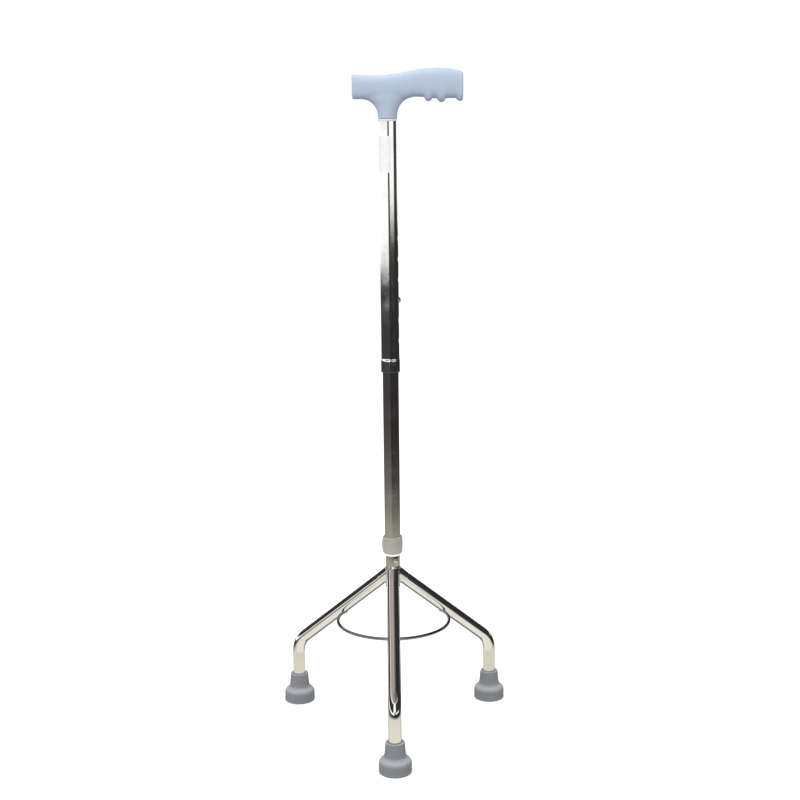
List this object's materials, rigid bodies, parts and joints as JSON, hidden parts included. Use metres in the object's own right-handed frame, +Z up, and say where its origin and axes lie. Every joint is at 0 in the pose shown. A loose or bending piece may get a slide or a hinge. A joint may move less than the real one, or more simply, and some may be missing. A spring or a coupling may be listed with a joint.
{
  "type": "tripod walking cane",
  "caption": "Height-adjustable walking cane with a T grip, telescopic chromed tubes, a snap button and a braced splayed base on rubber feet.",
  "frame": {"origin": "on the floor, in the middle of the box that the three feet stand in", "axes": "+Z up along the shaft, the front leg points along -Y, the long end of the grip points along +X"},
  "size_m": [0.294, 0.2598, 0.823],
  "materials": {
    "chrome_tube": "polished chrome plate on steel tube",
    "foot_rubber": "matt moulded rubber",
    "steel": "zinc-plated steel",
    "button_chrome": "polished dome",
    "bright_ring": "polished",
    "spring_steel": "blued spring strip",
    "nylon": "natural nylon",
    "plug_plastic": "matt black",
    "collar_plastic": "translucent smoke-grey plastic",
    "ferrule_plastic": "white",
    "grip_plastic": "satin moulded plastic, grey-blue"
  },
  "bodies": {
    "base": {"leg_front": "chrome_tube", "leg_rear_left": "chrome_tube", "leg_rear_right": "chrome_tube", "foot_front": "foot_rubber", "foot_rear_left": "foot_rubber", "foot_rear_right": "foot_rubber", "foot_washers": "steel", "brace_wire": "chrome_tube", "stem": "chrome_tube", "stem_core_rod": "steel", "stem_end_plug": "plug_plastic", "stem_rivet": "button_chrome", "seat_ring": "bright_ring", "lower_tube": "chrome_tube", "collar_bush": "nylon", "lower_tube_guide": "nylon", "button_spring": "spring_steel"},
    "lock_collar": {"lock_collar": "collar_plastic"},
    "snap_button": {"snap_button": "button_chrome"},
    "upper": {"outer_tube": "chrome_tube", "mouth_bush": "nylon", "tube_screw": "steel", "ferrule": "ferrule_plastic", "grip_insert": "nylon", "grip_screw": "steel", "grip": "grip_plastic"}
  },
  "joints": [
    {"name": "height_slide", "type": "slide", "parent": "base", "child": "upper", "axis": [0, 0, 1], "range_m": [-0.1, 0.05]},
    {"name": "button_press", "type": "slide", "parent": "base", "child": "snap_button", "axis": [-1, 0, 0], "range_m": [0, 0.0037], "stiffness_N_per_m": 1500, "springref_m": -0.002, "deforming": ["button_spring"]},
    {"name": "collar_turn", "type": "hinge", "parent": "base", "child": "lock_collar", "pos_m": [0, 0.03675, 0.237], "axis": [0, 0, 1], "range_deg": [0, 90]}
  ]
}
